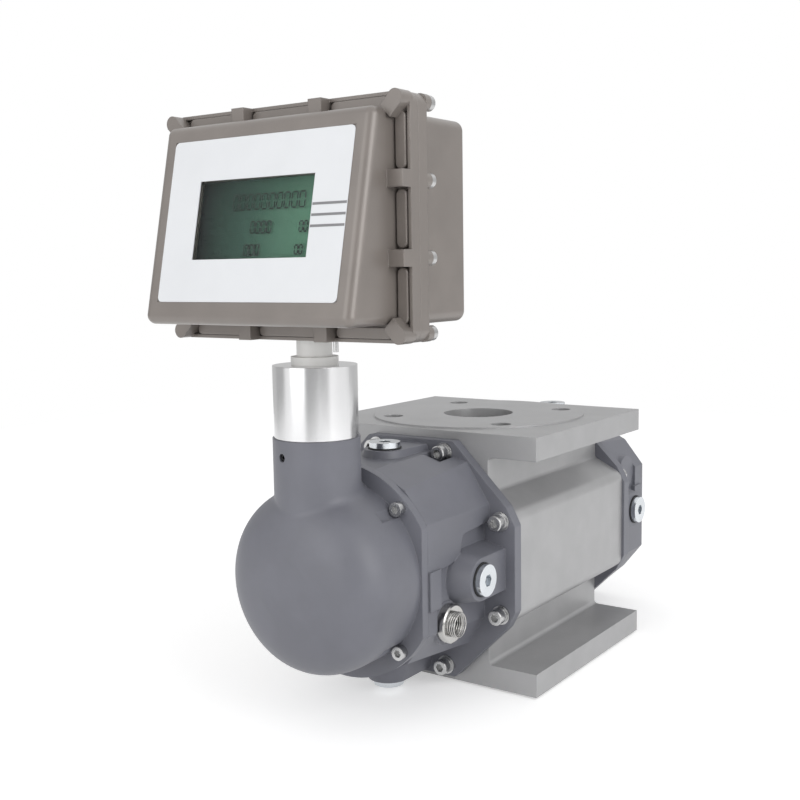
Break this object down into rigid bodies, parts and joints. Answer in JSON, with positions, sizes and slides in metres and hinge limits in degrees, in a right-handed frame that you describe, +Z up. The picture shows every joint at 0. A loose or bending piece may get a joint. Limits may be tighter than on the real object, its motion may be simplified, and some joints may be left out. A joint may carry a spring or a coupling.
{
  "type": "roots flow meter",
  "caption": "Rotary positive displacement gas meter: two lobed rotors in a flanged body, oil-filled end covers and a turning display head on an upright tube.",
  "frame": {"origin": "centre of the lower flange face, on the flow axis", "axes": "+Z up along the flow axis, -Y towards the display side, Y along the rotor axes"},
  "size_m": [0.18, 0.4103, 0.3675],
  "materials": {
    "body_alloy": "satin machined",
    "cover_paint": "matte powder coat",
    "rubber_seal": "matte",
    "steel": "ground",
    "rotor_alloy": "anodised",
    "fastener_steel": "bright",
    "plug_zinc": "zinc plated",
    "bush_brass": "turned",
    "plastic_black": "moulded",
    "tube_alloy": "turned and polished",
    "box_paint": "satin powder coat",
    "label_white": "printed film",
    "window_clear": "clear",
    "display_green": "liquid crystal panel",
    "board_green": "circuit board"
  },
  "bodies": {
    "meter": {"meter_body": "body_alloy", "front_cover": "cover_paint", "rear_cover": "cover_paint", "front_cover_seal": "rubber_seal", "rear_cover_seal": "rubber_seal", "front_bearing_plate": "steel", "rear_bearing_plate": "steel", "plate_screws": "fastener_steel", "bearing_outer_rings": "steel", "cover_washers": "fastener_steel", "spring_washers": "fastener_steel", "cover_screws": "fastener_steel", "oil_plugs": "plug_zinc", "plug_seals": "rubber_seal", "port_bush": "plug_zinc", "counter_cover": "cover_paint", "counter_cover_seal": "rubber_seal", "counter_cover_screws": "fastener_steel", "magnet_can": "steel", "spindle_bush": "bush_brass", "counter_frame": "steel", "movement_screws": "fastener_steel", "pulse_sensor": "plastic_black", "neck_grub_screw": "fastener_steel"},
    "right_rotor": {"rotor_right": "rotor_alloy", "shaft_right": "steel", "bearing_inner_rings_right": "steel", "timing_gear_right": "steel", "gear_nut_right": "steel", "oil_slinger": "steel", "drive_magnet": "steel"},
    "left_rotor": {"rotor_left": "rotor_alloy", "shaft_left": "steel", "bearing_inner_rings_left": "steel", "timing_gear_left": "steel", "gear_nut_left": "steel"},
    "counter": {"follower_magnet": "steel", "counter_spindle": "steel", "pulse_disc": "rotor_alloy"},
    "head": {"display_tube": "tube_alloy", "box_nipple": "tube_alloy", "nipple_nut": "fastener_steel", "box_housing": "box_paint", "box_gasket": "rubber_seal", "box_lid": "box_paint", "box_bolts": "fastener_steel", "seal_screw": "fastener_steel", "label_plate": "label_white", "window_pane": "window_clear", "display_module": "display_green", "main_board": "board_green", "board_screws": "fastener_steel", "terminal_board": "board_green", "terminal_block": "plastic_black", "battery_tray": "plastic_black", "battery_cells": "plastic_black"}
  },
  "joints": [
    {"name": "rotor_right_spin", "type": "hinge", "parent": "meter", "child": "right_rotor", "pos_m": [0.027, 0, 0.0855], "axis": [0, 1, 0], "continuous": true},
    {"name": "rotor_left_spin", "type": "hinge", "parent": "meter", "child": "left_rotor", "pos_m": [-0.027, 0, 0.0855], "axis": [0, 1, 0], "continuous": true},
    {"name": "counter_spin", "type": "hinge", "parent": "meter", "child": "counter", "pos_m": [0.027, -0.17, 0.0855], "axis": [0, 1, 0], "continuous": true},
    {"name": "head_swivel", "type": "hinge", "parent": "meter", "child": "head", "pos_m": [0, -0.185, 0.2], "axis": [0, 0, 1], "range_deg": [-175, 175]}
  ],
  "couplings": [
    {"joint": "rotor_left_spin", "follows": "rotor_right_spin", "ratio": -1},
    {"joint": "counter_spin", "follows": "rotor_right_spin", "ratio": 1}
  ]
}
